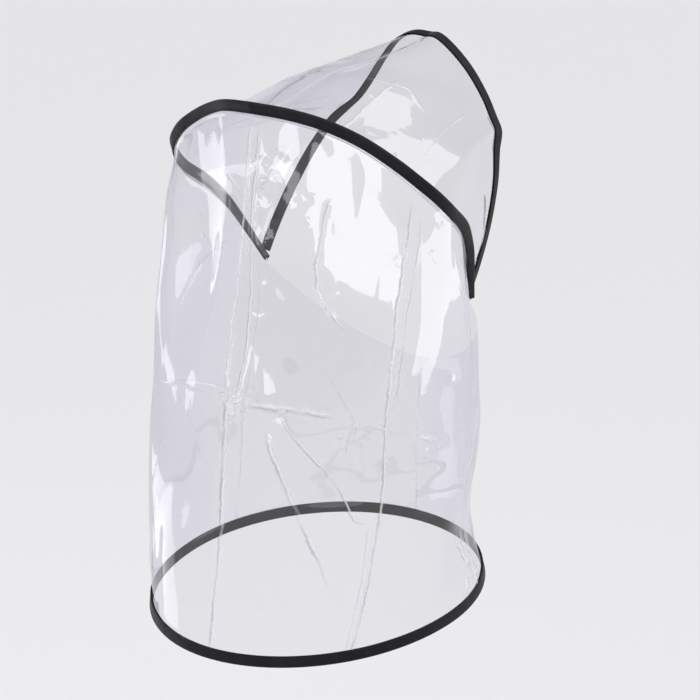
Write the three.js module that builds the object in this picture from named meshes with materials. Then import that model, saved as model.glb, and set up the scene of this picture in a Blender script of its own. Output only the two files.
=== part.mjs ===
// Rain bonnet: a clear film crown panel and a long clear film drape, bound in black tape.
// Millimetres. +Z is up, +Y is the back of the bonnet, -Y the face side, X runs ear to ear.
// The origin is where the underside of the crown sits on the top of the head.
import * as THREE from 'three';

// Walls and trim
const filmWall = 1.0;
const tapeWidth = 8.5;
const tapeWall = 0.6;
const clearance = 0.3;

// Crown seam, where crown and drape are sewn together
const seamBack = 99.5;
const seamBackBelowSeat = 9.0;
const seamHalfWidth = 112.0;
const seamForward = 112.0;
const seamDrop = 146.0;

// Brim, the free front edge of the crown
const brimForward = 106.0;
const brimRise = 3.0;

// The fin of the seam, where both films stand side by side in the tape: the height at
// which its tape starts, its outward lean at the back and at the ears, and the share of
// the half seam from which it turns to the ear's lean. The crown film steps in by
// crownTuck at the fold, to pass behind the tape.
const finFoot = 2.2;
const finLeanBack = 0.12;
const finLeanEar = 0.7;
const finTurnFrom = 0.55;
const crownTuck = 1.8;

// Face edge of the drape, from the ear joints to under the chin
const chinForward = 74.0;
const chinDrop = 232.0;
const faceEdgeFullness = 1.8;
const faceEdgeFall = 1.2;

// Hem ring
const hemHalfWidth = 116.0;
const hemCentreBack = 55.5;
const hemBackDepth = 125.0;
const hemFrontDepth = 115.0;
const hemDrop = 361.0;
const hemBackDip = 6.0;

// Relief of the film
const headBulge = 4.0;
const crownDome = 6.0;
const packFoldHeight = 2.2;
const dentDepth = 8.0;

// Where the relief lies, in shares: of the way from seam to brim, of the half seam, and
// of the height of the drape
const bulgeMiddle = 0.44;
const bulgeReach = 0.15;
const bulgeHalfWidth = 0.2;
const domeRise = 0.2;
const domeFade = 0.45;
const domeEnd = 0.95;
const reliefRise = 0.11;
const reliefFade = 0.1;
const foldSpread = 0.25;

// How finely the film is divided: columns from the centre back to an ear joint and on
// to the chin, and rows across the crown and down the drape
const seamColumns = 23;
const faceColumns = 13;
const crownRows = 9;
const drapeRows = 16;

// Half of the crown seam, from the centre back (0) to the ear joint (1).
// across is a share of seamHalfWidth, forward of seamForward, down of seamDrop.
const seamStations = [
  { along: 0.0, across: 0.0, forward: 0.0, down: 0.0 },
  { along: 0.1, across: 0.217, forward: 0.055, down: 0.02 },
  { along: 0.2, across: 0.412, forward: 0.145, down: 0.068 },
  { along: 0.3, across: 0.612, forward: 0.222, down: 0.14 },
  { along: 0.4, across: 0.798, forward: 0.283, down: 0.234 },
  { along: 0.5, across: 0.938, forward: 0.37, down: 0.349 },
  { along: 0.6, across: 1.0, forward: 0.508, down: 0.472 },
  { along: 0.7, across: 0.974, forward: 0.676, down: 0.582 },
  { along: 0.8, across: 0.914, forward: 0.807, down: 0.707 },
  { along: 0.9, across: 0.849, forward: 0.91, down: 0.852 },
  { along: 1.0, across: 0.786, forward: 1.0, down: 1.0 },
];

// Half of the brim, from its centre front (0) to the ear joint (1).
// across is a share of the half width at the ears, back of the length from the
// brim's front to the ears, and down of the height from its top to the ears.
const brimStations = [
  { along: 0.0, across: 0.0, back: 0.0, down: 0.012 },
  { along: 0.05, across: 0.115, back: 0.05, down: 0.003 },
  { along: 0.1, across: 0.23, back: 0.078, down: 0.028 },
  { along: 0.2, across: 0.408, back: 0.065, down: 0.128 },
  { along: 0.3, across: 0.557, back: 0.07, down: 0.245 },
  { along: 0.38, across: 0.668, back: 0.108, down: 0.335 },
  { along: 0.43, across: 0.752, back: 0.16, down: 0.386 },
  { along: 0.5, across: 0.822, back: 0.29, down: 0.449 },
  { along: 0.6, across: 0.9, back: 0.43, down: 0.555 },
  { along: 0.7, across: 0.952, back: 0.572, down: 0.667 },
  { along: 0.8, across: 0.985, back: 0.714, down: 0.778 },
  { along: 0.9, across: 1.0, back: 0.858, down: 0.889 },
  { along: 1.0, across: 1.0, back: 1.0, down: 1.0 },
];

// Lean of the drape's back between seam (down 0) and hem (down 1), as a share of the
// whole sideways step from seam to hem.
const leanStations = [
  { down: 0.0, step: 0.0 },
  { down: 0.12, step: 0.06 },
  { down: 0.25, step: 0.17 },
  { down: 0.39, step: 0.385 },
  { down: 0.52, step: 0.57 },
  { down: 0.82, step: 0.835 },
  { down: 1.0, step: 1.0 },
];

// Packing folds that run from seam to hem on both sides. around and spread are shares of
// the half girth from the centre back, lift is a share of packFoldHeight.
const packFolds = [
  { around: 0.0, spread: 0.055, lift: 1.0 },
  { around: 0.3, spread: 0.055, lift: 0.9 },
  { around: 0.62, spread: 0.06, lift: 0.7 },
];

// Soft dents and swells of the drape. around and width are shares of the half girth,
// minus on the wearer's right, down and height of the height, and depth of dentDepth,
// where minus swells outwards.
const drapeDents = [
  { around: -0.66, down: 0.77, width: 0.12, height: 0.2, depth: 1.5 },
  { around: 0.38, down: 0.24, width: 0.16, height: 0.24, depth: -1.1 },
  { around: -0.38, down: 0.2, width: 0.16, height: 0.26, depth: -0.4 },
  { around: 0.38, down: 0.68, width: 0.16, height: 0.3, depth: -0.5 },
  { around: -0.14, down: 0.3, width: 0.07, height: 0.2, depth: 0.35 },
  { around: -0.42, down: 0.22, width: 0.06, height: 0.16, depth: 0.4 },
  { around: 0.16, down: 0.34, width: 0.08, height: 0.24, depth: 0.35 },
  { around: -0.2, down: 0.62, width: 0.06, height: 0.14, depth: 0.4 },
  { around: 0.45, down: 0.8, width: 0.08, height: 0.14, depth: 0.35 },
];

const up = new THREE.Vector3(0, 0, 1);

function smooth(t) {
  const k = THREE.MathUtils.clamp(t, 0, 1);
  return k * k * (3 - 2 * k);
}

// Value of a column of a station table at a place along it, by a smooth cubic.
function readTable(table, key, column, place) {
  let i = 0;
  while (i < table.length - 2 && place > table[i + 1][key]) {
    i += 1;
  }
  const slope = (k) => (table[k + 1][column] - table[k][column]) / (table[k + 1][key] - table[k][key]);
  const tangent = (k) => {
    if (k === 0) {
      return slope(0);
    }
    if (k === table.length - 1) {
      return slope(k - 1);
    }
    return (slope(k - 1) + slope(k)) / 2;
  };
  const span = table[i + 1][key] - table[i][key];
  const t = (place - table[i][key]) / span;
  const a = table[i][column];
  const b = table[i + 1][column];
  const t2 = t * t;
  const t3 = t2 * t;
  return a * (2 * t3 - 3 * t2 + 1) + b * (3 * t2 - 2 * t3)
    + span * (tangent(i) * (t3 - 2 * t2 + t) + tangent(i + 1) * (t3 - t2));
}

// Crown seam at a place from -1 (right ear) through 0 (centre back) to 1 (left ear).
function seamPoint(place) {
  const along = Math.abs(place);
  return new THREE.Vector3(
    Math.sign(place) * seamHalfWidth * readTable(seamStations, 'along', 'across', along),
    seamBack - seamForward * readTable(seamStations, 'along', 'forward', along),
    -seamBackBelowSeat - seamDrop * readTable(seamStations, 'along', 'down', along),
  );
}

const earJoint = seamPoint(1);

// Brim edge at a place from -1 (right ear) through 0 (centre front) to 1 (left ear).
function brimPoint(place) {
  const along = Math.abs(place);
  return new THREE.Vector3(
    Math.sign(place) * earJoint.x * readTable(brimStations, 'along', 'across', along),
    -brimForward + (earJoint.y + brimForward) * readTable(brimStations, 'along', 'back', along),
    brimRise - (brimRise - earJoint.z) * readTable(brimStations, 'along', 'down', along),
  );
}

// Face edge of the drape at a place from 0 (ear joint) to 1 (under the chin).
function faceEdgePoint(place, side) {
  const turn = place * Math.PI / 2;
  const power = 2 / faceEdgeFullness;
  const inwards = Math.max(0, Math.cos(turn)) ** power;
  return new THREE.Vector3(
    side * earJoint.x * inwards,
    earJoint.y - (chinForward + earJoint.y) * Math.sin(turn) ** power,
    earJoint.z - (chinDrop + earJoint.z) * Math.sin(turn) ** faceEdgeFall,
  );
}

// Hem at a share of the half girth from the centre back (0) to the centre front (1).
const hemTurnSteps = 200;
const hemOutline = [];
for (let i = 0; i <= hemTurnSteps; i += 1) {
  const turn = Math.PI * i / hemTurnSteps;
  const depth = turn < Math.PI / 2 ? hemBackDepth : hemFrontDepth;
  hemOutline.push(new THREE.Vector3(
    hemHalfWidth * Math.sin(turn),
    hemCentreBack + depth * Math.cos(turn),
    -hemDrop - hemBackDip * Math.cos(turn),
  ));
}
const hemCurve = new THREE.CatmullRomCurve3(hemOutline);
hemCurve.arcLengthDivisions = 2 * hemTurnSteps;

function hemPoint(around, side) {
  const point = hemCurve.getPointAt(around);
  point.x *= side;
  return point;
}

// Lengths of the two halves of the drape's top edge set where the ear column comes.
function lengthOf(pointAt, steps) {
  let total = 0;
  let last = pointAt(0);
  for (let i = 1; i <= steps; i += 1) {
    const next = pointAt(i / steps);
    total += next.distanceTo(last);
    last = next;
  }
  return total;
}
const measureSteps = 80;
const seamHalfLength = lengthOf((t) => seamPoint(t), measureSteps);
const faceHalfLength = lengthOf((t) => faceEdgePoint(t, 1), measureSteps);
const earShare = seamHalfLength / (seamHalfLength + faceHalfLength);

// The drape hangs from the fold at the foot of the seam fin.
function drapeTop(around, side) {
  if (around <= earShare) {
    return seamPoint(side * around / earShare);
  }
  return faceEdgePoint((around - earShare) / (1 - earShare), side);
}

function drapeBase(around, side, down) {
  const top = drapeTop(around, side);
  const hem = hemPoint(around, side);
  const frontness = smooth((around - earShare) / (1 - earShare));
  const step = THREE.MathUtils.lerp(readTable(leanStations, 'down', 'step', down), down, frontness);
  return new THREE.Vector3(
    THREE.MathUtils.lerp(top.x, hem.x, step),
    THREE.MathUtils.lerp(top.y, hem.y, step),
    THREE.MathUtils.lerp(top.z, hem.z, down),
  );
}

// Outward lift of the drape's relief, nothing at the seam and at the hem.
function drapeRelief(around, side, down) {
  const fade = smooth(down / reliefRise) * smooth((1 - down) / reliefFade);
  let lift = 0;
  for (const fold of packFolds) {
    const away = Math.abs(around - fold.around) / fold.spread;
    lift += packFoldHeight * fold.lift * Math.max(0, 1 - away);
  }
  for (const dent of drapeDents) {
    const across = (side * around - dent.around) / dent.width;
    const along = (down - dent.down) / dent.height;
    lift -= dentDepth * dent.depth * Math.exp(-(across * across + along * along));
  }
  return lift * fade;
}

function drapePoint(around, side, down) {
  const point = drapeBase(around, side, down);
  const nudge = 0.004;
  const before = drapeBase(Math.max(0, around - nudge), side, down);
  const after = drapeBase(Math.min(1, around + nudge), side, down);
  const along = after.sub(before).multiplyScalar(side).setZ(0).normalize();
  const outward = new THREE.Vector3(along.y, -along.x, 0);
  if (outward.dot(new THREE.Vector3(point.x, point.y - hemCentreBack, 0)) < 0) {
    outward.negate();
  }
  return point.addScaledVector(outward, drapeRelief(around, side, down));
}

// Direction of a line of points at one of them, halfway between its two chords.
function chordDirection(before, here, after) {
  const direction = after.clone().sub(here).normalize();
  return direction.add(here.clone().sub(before).normalize()).normalize();
}

// Direction of an edge at a place, from its chords to the columns on both sides.
function edgeDirection(pointAt, place) {
  const before = pointAt(Math.max(-1, place - 1 / seamColumns));
  const after = pointAt(Math.min(1, place + 1 / seamColumns));
  return chordDirection(before, pointAt(place), after);
}

// Frame of the seam fin at a place: along the seam, up the fin and out of its back face.
function seamFrame(place) {
  const along = edgeDirection(seamPoint, place);
  const side = place < 0 ? -1 : 1;
  const around = Math.abs(place) * earShare;
  const fall = drapeBase(around, side, reliefRise).sub(drapeBase(around, side, 0)).normalize();
  const outward = new THREE.Vector3().crossVectors(fall, along).normalize();
  const middle = new THREE.Vector3(0, hemCentreBack, 0);
  if (outward.dot(seamPoint(place).sub(middle).setZ(0)) < 0) {
    outward.negate();
  }
  const turned = smooth((Math.abs(place) - finTurnFrom) / (1 - finTurnFrom));
  const lean = THREE.MathUtils.lerp(finLeanBack, finLeanEar, turned);
  const fin = fall.clone().negate().addScaledVector(outward, lean);
  fin.addScaledVector(along, -fin.dot(along)).normalize();
  const face = new THREE.Vector3().crossVectors(along, fin).normalize();
  if (face.dot(outward) < 0) {
    face.negate();
  }
  return { foot: seamPoint(place), along, fin, face };
}

// Height of the films in the fin, and how far each stands from the fin's middle
const finHeight = finFoot + tapeWidth - tapeWall - clearance;
const filmOffset = (filmWall + clearance) / 2;

// Closed solid of a film whose middle surface is a grid of points.
function filmSolid(grid, roundTrip) {
  const rows = grid.length;
  const columns = grid[0].length;
  const pick = (i, j) => {
    const row = grid[THREE.MathUtils.clamp(i, 0, rows - 1)];
    const column = roundTrip ? (j + columns) % columns : THREE.MathUtils.clamp(j, 0, columns - 1);
    return row[column];
  };
  const outer = [];
  const inner = [];
  for (let i = 0; i < rows; i += 1) {
    for (let j = 0; j < columns; j += 1) {
      const across = chordDirection(pick(i, j - 1), pick(i, j), pick(i, j + 1));
      const along = chordDirection(pick(i - 1, j), pick(i, j), pick(i + 1, j));
      const normal = new THREE.Vector3().crossVectors(across, along).normalize();
      outer.push(grid[i][j].clone().addScaledVector(normal, filmWall / 2));
      inner.push(grid[i][j].clone().addScaledVector(normal, -filmWall / 2));
    }
  }
  const points = outer.concat(inner);
  const faces = [];
  const at = (i, j) => i * columns + (j % columns);
  const under = outer.length;
  const lastColumn = roundTrip ? columns : columns - 1;
  for (let i = 0; i < rows - 1; i += 1) {
    for (let j = 0; j < lastColumn; j += 1) {
      const a = at(i, j);
      const b = at(i, j + 1);
      const c = at(i + 1, j + 1);
      const d = at(i + 1, j);
      faces.push([a, b, c], [a, c, d]);
      faces.push([under + a, under + c, under + b], [under + a, under + d, under + c]);
    }
  }
  for (let j = 0; j < lastColumn; j += 1) {
    const top = [at(0, j), at(0, j + 1)];
    faces.push([top[1], top[0], under + top[0]], [top[1], under + top[0], under + top[1]]);
    const low = [at(rows - 1, j), at(rows - 1, j + 1)];
    faces.push([low[0], low[1], under + low[1]], [low[0], under + low[1], under + low[0]]);
  }
  if (!roundTrip) {
    for (let i = 0; i < rows - 1; i += 1) {
      const left = [at(i, 0), at(i + 1, 0)];
      faces.push([left[0], left[1], under + left[1]], [left[0], under + left[1], under + left[0]]);
      const right = [at(i, columns - 1), at(i + 1, columns - 1)];
      faces.push([right[1], right[0], under + right[0]], [right[1], under + right[0], under + right[1]]);
    }
  }
  return solidFrom(points, faces);
}

// Tape folded over an edge: a channel whose slot is open towards minus depth.
// Each frame has a foot on the film's edge, a depth axis and a face axis.
function tapeSolid(frames, slot, roundTrip) {
  const far = clearance + tapeWall;
  const near = far - tapeWidth;
  const inside = slot / 2;
  const outside = inside + tapeWall;
  const section = [
    new THREE.Vector2(near, -outside),
    new THREE.Vector2(far, -outside),
    new THREE.Vector2(far, outside),
    new THREE.Vector2(near, outside),
    new THREE.Vector2(near, inside),
    new THREE.Vector2(clearance, inside),
    new THREE.Vector2(clearance, -inside),
    new THREE.Vector2(near, -inside),
  ];
  const points = [];
  for (const frame of frames) {
    for (const corner of section) {
      points.push(frame.foot.clone()
        .addScaledVector(frame.depth, corner.x)
        .addScaledVector(frame.face, corner.y));
    }
  }
  const size = section.length;
  const count = frames.length;
  const faces = [];
  const last = roundTrip ? count : count - 1;
  for (let i = 0; i < last; i += 1) {
    const here = i * size;
    const next = ((i + 1) % count) * size;
    for (let k = 0; k < size; k += 1) {
      const m = (k + 1) % size;
      if (section[m].x < section[k].x) {
        faces.push([here + k, here + m, next + k], [here + m, next + m, next + k]);
      } else {
        faces.push([here + k, here + m, next + m], [here + k, next + m, next + k]);
      }
    }
  }
  if (!roundTrip) {
    const end = (count - 1) * size;
    for (const [a, b, c] of THREE.ShapeUtils.triangulateShape(section, [])) {
      faces.push([c, b, a], [end + a, end + b, end + c]);
    }
  }
  return solidFrom(points, faces);
}

// Indexed geometry whose faces point outwards.
function solidFrom(points, faces) {
  let volume = 0;
  for (const [a, b, c] of faces) {
    volume += points[a].dot(new THREE.Vector3().crossVectors(points[b], points[c]));
  }
  const index = faces.flatMap(([a, b, c]) => (volume < 0 ? [a, c, b] : [a, b, c]));
  const numbers = points.flatMap((point) => point.toArray());
  const geometry = new THREE.BufferGeometry();
  geometry.setAttribute('position', new THREE.Float32BufferAttribute(numbers, 3));
  geometry.setIndex(index);
  geometry.computeVertexNormals();
  return geometry;
}

// Frame of the brim's edge at a place: its depth axis points out of the crown.
function brimFrame(place) {
  const along = edgeDirection(brimPoint, place);
  const depth = brimPoint(place).sub(seamPoint(place));
  depth.addScaledVector(along, -depth.dot(along)).normalize();
  const face = new THREE.Vector3().crossVectors(along, depth).normalize();
  return { foot: brimPoint(place), depth, face };
}

// Places along seam and brim, column by column, as far as the given column from the centre.
function columnPlaces(reach) {
  const places = [];
  for (let j = -reach; j <= reach; j += 1) {
    places.push(j / seamColumns);
  }
  return places;
}

// Crown panel: seam fin, fold, panel, and the straight strip inside the brim tape.
function crownGrid() {
  const middle = new THREE.Vector3(0, 0, earJoint.z / 2);
  const grid = [];
  const places = columnPlaces(seamColumns - 1);
  const finLine = (height, offset) => places.map((place) => {
    const frame = seamFrame(place);
    return frame.foot.clone().addScaledVector(frame.face, -offset).addScaledVector(frame.fin, height);
  });
  grid.push(finLine(finHeight, filmOffset), finLine(finHeight / 2, filmOffset), finLine(0, filmOffset));
  const foldLine = finLine(0, filmOffset + crownTuck);
  grid.push(foldLine);
  const edgeLine = places.map((place) => brimPoint(place));
  const stripLine = places.map((place, j) => {
    const frame = brimFrame(place);
    const halfWidth = foldLine[j].distanceTo(edgeLine[j]) / 2;
    return frame.foot.clone().addScaledVector(frame.depth, -Math.min(tapeWidth, halfWidth));
  });
  for (let i = 1; i < crownRows; i += 1) {
    const share = i / crownRows;
    grid.push(places.map((place, j) => {
      const point = foldLine[j].clone().lerp(stripLine[j], share);
      const inReach = (share - bulgeMiddle) / bulgeReach;
      const inWidth = place / bulgeHalfWidth;
      const hump = Math.exp(-(inReach * inReach + inWidth * inWidth));
      const away = Math.abs(place);
      const sides = smooth(away / domeRise) * smooth((domeEnd - away) / domeFade);
      const dome = Math.sin(Math.PI * share) * sides;
      const outward = point.clone().sub(middle).normalize();
      return point.addScaledVector(up, headBulge * hump).addScaledVector(outward, crownDome * dome);
    }));
  }
  grid.push(stripLine, edgeLine);
  return grid;
}

// Drape: seam fin and fold at the back, plain face edge in front, then rows to the hem,
// with the last row band as high as the hem tape.
function drapeGrid() {
  const columns = [];
  const perHalf = seamColumns + faceColumns;
  for (let j = -perHalf + 1; j <= perHalf; j += 1) {
    const side = j < 0 ? -1 : 1;
    const count = Math.abs(j);
    const sewn = count <= seamColumns;
    const around = sewn
      ? earShare * count / seamColumns
      : earShare + (1 - earShare) * (count - seamColumns) / faceColumns;
    const fall = drapeTop(around, side).z - hemPoint(around, side).z;
    columns.push({ around, side, sewn, place: side * count / seamColumns, strip: tapeWidth / fall });
  }
  const height = hemDrop + earJoint.z;
  const topLine = (share) => columns.map(({ around, side, sewn, place }) => {
    if (sewn) {
      const frame = seamFrame(place);
      return frame.foot.clone()
        .addScaledVector(frame.face, filmOffset)
        .addScaledVector(frame.fin, finHeight * (1 - share));
    }
    return drapePoint(around, side, share * finHeight / height);
  });
  const grid = [topLine(0), topLine(0.5), topLine(1)];
  for (let i = 1; i <= drapeRows; i += 1) {
    grid.push(columns.map(({ around, side, sewn, place, strip }) => {
      const down = i < drapeRows ? (1 - strip) * i / (drapeRows - 1) : 1;
      if (!sewn) {
        const start = finHeight / height;
        return drapePoint(around, side, start + (1 - start) * down);
      }
      const point = drapePoint(around, side, down);
      const spread = 1 - smooth(down / foldSpread);
      return point.addScaledVector(seamFrame(place).face, filmOffset * spread);
    }));
  }
  return grid;
}

const group = new THREE.Group();

function addPiece(name, geometry, look) {
  const mesh = new THREE.Mesh(geometry, new THREE.MeshStandardMaterial(look));
  mesh.name = name;
  group.add(mesh);
}

const clearFilm = { color: 0xe9e8f0, roughness: 0.08, metalness: 0, transparent: true, opacity: 0.3 };
const blackTape = { color: 0x1c1a20, roughness: 0.75, metalness: 0 };

addPiece('crown_panel', filmSolid(crownGrid(), false), clearFilm);

const drape = drapeGrid();
addPiece('back_drape', filmSolid(drape, true), clearFilm);

const singleSlot = filmWall + 2 * clearance;
const doubleSlot = 2 * filmWall + 3 * clearance;

const brimFrames = columnPlaces(seamColumns - 2).map(brimFrame);
addPiece('brim_binding', tapeSolid(brimFrames, singleSlot, false), blackTape);

const seamFrames = columnPlaces(seamColumns).reverse().map((place) => {
  const frame = seamFrame(place);
  return {
    foot: frame.foot.clone().addScaledVector(frame.fin, finHeight),
    depth: frame.fin,
    face: frame.face,
  };
});
addPiece('seam_binding', tapeSolid(seamFrames, doubleSlot, false), blackTape);

const lowRow = drape[drape.length - 1];
const nextRow = drape[drape.length - 2];
const hemFrames = lowRow.map((foot, j) => {
  const before = lowRow[(j - 1 + lowRow.length) % lowRow.length];
  const along = chordDirection(before, foot, lowRow[(j + 1) % lowRow.length]);
  const depth = foot.clone().sub(nextRow[j]);
  depth.addScaledVector(along, -depth.dot(along)).normalize();
  return { foot, depth, face: new THREE.Vector3().crossVectors(along, depth).normalize() };
});
addPiece('hem_binding', tapeSolid(hemFrames, singleSlot, true), blackTape);

export default group;
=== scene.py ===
import math
import bpy
import numpy as np
from mathutils import Matrix, Vector


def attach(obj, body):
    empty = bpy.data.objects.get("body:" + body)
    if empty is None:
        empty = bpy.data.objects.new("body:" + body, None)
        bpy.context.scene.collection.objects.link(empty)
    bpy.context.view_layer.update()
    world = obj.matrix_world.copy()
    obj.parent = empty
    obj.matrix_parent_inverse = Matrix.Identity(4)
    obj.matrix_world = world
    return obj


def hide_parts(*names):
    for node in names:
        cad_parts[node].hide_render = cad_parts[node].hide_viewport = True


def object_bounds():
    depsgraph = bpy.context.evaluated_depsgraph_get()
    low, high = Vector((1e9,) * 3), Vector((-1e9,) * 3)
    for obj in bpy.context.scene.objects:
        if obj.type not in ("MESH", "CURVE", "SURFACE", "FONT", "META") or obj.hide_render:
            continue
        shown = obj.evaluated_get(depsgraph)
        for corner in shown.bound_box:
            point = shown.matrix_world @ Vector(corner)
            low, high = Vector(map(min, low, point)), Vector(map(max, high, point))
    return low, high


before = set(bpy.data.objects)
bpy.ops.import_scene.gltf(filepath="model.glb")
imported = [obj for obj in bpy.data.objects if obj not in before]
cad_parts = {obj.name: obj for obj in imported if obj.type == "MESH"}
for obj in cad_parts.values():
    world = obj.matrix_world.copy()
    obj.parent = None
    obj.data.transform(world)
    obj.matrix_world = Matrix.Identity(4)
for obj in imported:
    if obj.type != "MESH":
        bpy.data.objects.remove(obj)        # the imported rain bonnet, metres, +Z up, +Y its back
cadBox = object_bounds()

print("stage: frame loaded,", len(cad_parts), "nodes")
bpy.ops.object.select_all(action="DESELECT")


# Camera at the photograph's angle
view = {
    "azimuth": 218.0,        # degrees, 0 looks along +Y
    "elevation": 20.0,
    "roll": 3.0,
    "target": (-0.00127, 0.00915, -0.2003),
    "distance": 2.0,
    "pixel": 0.0007,         # metres for a pixel at the target
    "pixels": 700,
    "sensor": 36.0,          # mm
    "farthest": 60.0,
}


def addCamera():
    a, e, r = (math.radians(view[key]) for key in ("azimuth", "elevation", "roll"))
    back = Vector((math.sin(a) * math.cos(e), -math.cos(a) * math.cos(e), math.sin(e)))
    level = Vector((math.cos(a), math.sin(a), 0.0))
    upright = back.cross(level)
    right = level * math.cos(r) - upright * math.sin(r)
    up = back.cross(right)
    turn = Matrix((right, up, back)).transposed()
    bpy.ops.object.camera_add(location=Vector(view["target"]) + back * view["distance"],
                              rotation=turn.to_euler())
    camera = bpy.context.object
    camera.data.sensor_width = view["sensor"]
    camera.data.lens = view["sensor"] * view["distance"] / (view["pixel"] * view["pixels"])
    camera.data.clip_end = view["farthest"]
    bpy.context.scene.camera = camera


# Adds a node, sets its values and links its inputs
def addNode(tree, kind, inputs=(), **values):
    node = tree.nodes.new(kind)
    for key, value in values.items():
        setattr(node, key, value)
    for key, source in dict(inputs).items():
        if isinstance(source, bpy.types.NodeSocket):
            tree.links.new(source, node.inputs[key])
        else:
            node.inputs[key].default_value = source
    return node


def newMaterial(name):
    material = bpy.data.materials.new(name)
    material.use_nodes = True
    return material, material.node_tree


def mathNode(tree, operation, first, second=0.0, clamp=False):
    node = addNode(tree, "ShaderNodeMath", {0: first, 1: second}, operation=operation, use_clamp=clamp)
    return node.outputs[0]


# Spreads values from start to end over low to high
def rangeNode(tree, value, start, end, low, high, **values):
    node = addNode(tree, "ShaderNodeMapRange", {"Value": value, "From Min": start, "From Max": end,
                                                "To Min": low, "To Max": high}, **values)
    return node.outputs["Result"]


def noiseNode(tree, place, scale, detail, roughness=0.5):
    node = addNode(tree, "ShaderNodeTexNoise", {"Vector": place, "Scale": scale, "Detail": detail,
                                                "Roughness": roughness})
    return node.outputs["Fac"]


def colourMix(tree, share, first, second):
    return addNode(tree, "ShaderNodeMix", {0: share, 6: first, 7: second}, data_type="RGBA").outputs[2]


def shaderMix(tree, share, first, second):
    return addNode(tree, "ShaderNodeMixShader", {0: share, 1: first.outputs[0], 2: second.outputs[0]})


# Studio: a plain pale floor, a dimmer room, a broad soft light from above and soft boxes
studio = {
    "floorDrop": 0.55,       # from the hem down to the floor
    "floorSize": 30.0,
    "floorColour": (0.86, 0.86, 0.865, 1),
    "floorRoughness": 0.9,
    "floorSpecular": 0.1,
    "roomColour": (0.97, 0.97, 1.0, 1),
    "roomStrength": 0.42,
    "horizonStrength": 0.84,
    "horizonTop": 0.35,      # height, on a ball of radius 1, where the room is dimmest
    "skyStrength": 1.6,
    "skySoftness": 70.0,     # degrees across
    "skyRise": 74.0,
    "skyTurn": -30.0,
    "middle": (0, 0.04, -0.17),
    # Soft boxes: degrees to the camera's right as seen from the bonnet, degrees up, metres
    # away from the middle, degrees wide and tall, and radiance
    "softBoxes": [
        ("frontLeftBox", -29, 6.5, 0.6, 13, 10, 2.4),
        ("backLeftBox", -135, -8.3, 1.8, 26, 3.8, 1.35),
        ("lowLeftBox", -115, -28, 0.55, 31, 11.6, 1.15),
        ("rightBox", 84, -9, 0.55, 45, 16, 2.0),
        ("backRightBox", 98, 45, 0.55, 45, 32, 1.6),
        ("highBox", -15, 52, 1.5, 22, 12, 7.0),
    ],
}


def addStudio():
    low = cadBox[0].z - studio["floorDrop"]
    bpy.ops.mesh.primitive_plane_add(size=studio["floorSize"], location=(0, 0, low))
    floor = bpy.context.object
    floor.name = "studio_floor"
    paper, tree = newMaterial("floorPaper")
    shader = tree.nodes["Principled BSDF"]
    shader.inputs["Base Color"].default_value = studio["floorColour"]
    shader.inputs["Roughness"].default_value = studio["floorRoughness"]
    shader.inputs["Specular IOR Level"].default_value = studio["floorSpecular"]
    floor.data.materials.append(paper)
    bpy.context.scene.view_settings.view_transform = "Standard"
    room = bpy.data.worlds.new("paleRoom")
    room.use_nodes = True
    tree = room.node_tree
    gaze = addNode(tree, "ShaderNodeTexCoord").outputs["Generated"]
    ways = addNode(tree, "ShaderNodeSeparateXYZ", {"Vector": gaze})
    dimming = rangeNode(tree, ways.outputs["Z"], 0.0, studio["horizonTop"], studio["horizonStrength"],
                        studio["roomStrength"], interpolation_type="SMOOTHSTEP")
    tree.nodes["Background"].inputs["Color"].default_value = studio["roomColour"]
    tree.links.new(dimming, tree.nodes["Background"].inputs["Strength"])
    bpy.context.scene.world = room
    bpy.ops.object.light_add(type="SUN", rotation=outwards(studio["skyTurn"], studio["skyRise"])
                             .to_track_quat("Z", "Y").to_euler())
    sky = bpy.context.object
    sky.name = "broadSky"
    sky.data.energy = studio["skyStrength"]
    sky.data.angle = math.radians(studio["skySoftness"])
    for name, turn, rise, away, wide, tall, glow in studio["softBoxes"]:
        out = outwards(turn, rise)
        bpy.ops.object.light_add(type="AREA", location=Vector(studio["middle"]) + out * away,
                                 rotation=out.to_track_quat("Z", "Y").to_euler())
        light = bpy.context.object
        light.name = name
        light.data.shape = "RECTANGLE"
        light.data.size = 2 * away * math.tan(math.radians(wide / 2))
        light.data.size_y = 2 * away * math.tan(math.radians(tall / 2))
        light.data.energy = glow * math.pi * light.data.size * light.data.size_y


# Direction out from the bonnet, from degrees to the camera's right and degrees up
def outwards(turn, rise):
    a, turn, rise = math.radians(view["azimuth"]), math.radians(turn), math.radians(rise)
    towards = Vector((math.sin(a), -math.cos(a), 0))
    right = Vector((math.cos(a), math.sin(a), 0))
    level = towards * math.cos(turn) + right * math.sin(turn)
    return level * math.cos(rise) + Vector((0, 0, math.sin(rise)))


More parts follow.
